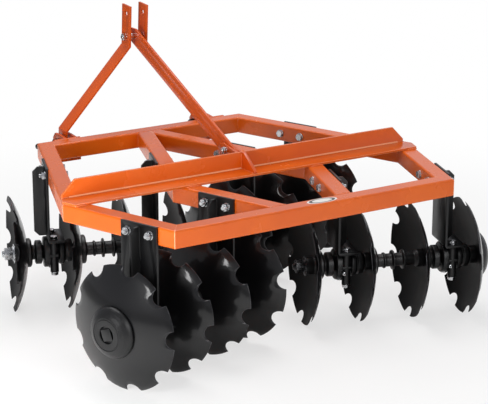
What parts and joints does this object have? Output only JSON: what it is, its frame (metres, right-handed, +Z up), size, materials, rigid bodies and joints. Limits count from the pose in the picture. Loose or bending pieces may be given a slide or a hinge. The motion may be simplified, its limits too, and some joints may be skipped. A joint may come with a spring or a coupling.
{
  "type": "disc harrow",
  "caption": "Mounted tandem disc harrow: notched dished discs on angled gangs under a welded tube frame, with a hitch mast and lower link pins.",
  "frame": {"origin": "centre of the footprint, on the floor under the disc rims", "axes": "+Z up, +Y forward to the hitch, +X to the right seen from behind"},
  "size_m": [1.5254, 1.3688, 0.9839],
  "materials": {
    "orange_enamel": "gloss orange enamel on welded steel",
    "black_enamel": "semi-gloss black paint on steel and cast iron",
    "zinc_plate": "bright zinc plate",
    "dark_steel": "dark oiled steel"
  },
  "bodies": {
    "frame": {"bearing_housings_front_left": "black_enamel", "bearing_housings_front_right": "black_enamel", "bearing_housings_rear_left": "black_enamel", "bearing_housings_rear_right": "black_enamel", "cross_angle": "orange_enamel", "cross_angle_lugs": "orange_enamel", "front_beam": "orange_enamel", "hanger_bolts": "zinc_plate", "hangers_front_left": "black_enamel", "hangers_front_right": "black_enamel", "hangers_rear_left": "black_enamel", "hangers_rear_right": "black_enamel", "hitch_bracket_left": "orange_enamel", "hitch_bracket_right": "orange_enamel", "inner_beam_front_left": "orange_enamel", "inner_beam_front_right": "orange_enamel", "inner_beam_rear_left": "orange_enamel", "inner_beam_rear_right": "orange_enamel", "lower_pin_left": "dark_steel", "lower_pin_right": "dark_steel", "mast_bolts": "zinc_plate", "mast_brace": "orange_enamel", "mast_leg_left": "orange_enamel", "mast_leg_right": "orange_enamel", "rear_beam": "orange_enamel", "side_beam_front_left": "orange_enamel", "side_beam_front_right": "orange_enamel", "side_beam_rear_left": "orange_enamel", "side_beam_rear_right": "orange_enamel"},
    "gang_front_left": {"discs_front_left": "black_enamel", "end_fittings_front_left": "black_enamel", "shaft_front_left": "black_enamel", "spools_front_left": "black_enamel"},
    "gang_front_right": {"discs_front_right": "black_enamel", "end_fittings_front_right": "black_enamel", "shaft_front_right": "black_enamel", "spools_front_right": "black_enamel"},
    "gang_rear_left": {"discs_rear_left": "black_enamel", "end_fittings_rear_left": "black_enamel", "shaft_rear_left": "black_enamel", "spools_rear_left": "black_enamel"},
    "gang_rear_right": {"discs_rear_right": "black_enamel", "end_fittings_rear_right": "black_enamel", "shaft_rear_right": "black_enamel", "spools_rear_right": "black_enamel"}
  },
  "joints": [
    {"name": "front_left_gang_turn", "type": "hinge", "parent": "frame", "child": "gang_front_left", "pos_m": [-0.52986, 0.30992, 0.203], "axis": [0.9397, -0.342, 0], "continuous": true},
    {"name": "front_right_gang_turn", "type": "hinge", "parent": "frame", "child": "gang_front_right", "pos_m": [0.52986, 0.30992, 0.203], "axis": [-0.9397, -0.342, 0], "continuous": true},
    {"name": "rear_left_gang_turn", "type": "hinge", "parent": "frame", "child": "gang_rear_left", "pos_m": [-0.58852, -0.46391, 0.203], "axis": [0.9397, 0.342, 0], "continuous": true},
    {"name": "rear_right_gang_turn", "type": "hinge", "parent": "frame", "child": "gang_rear_right", "pos_m": [0.58852, -0.46391, 0.203], "axis": [-0.9397, 0.342, 0], "continuous": true}
  ]
}
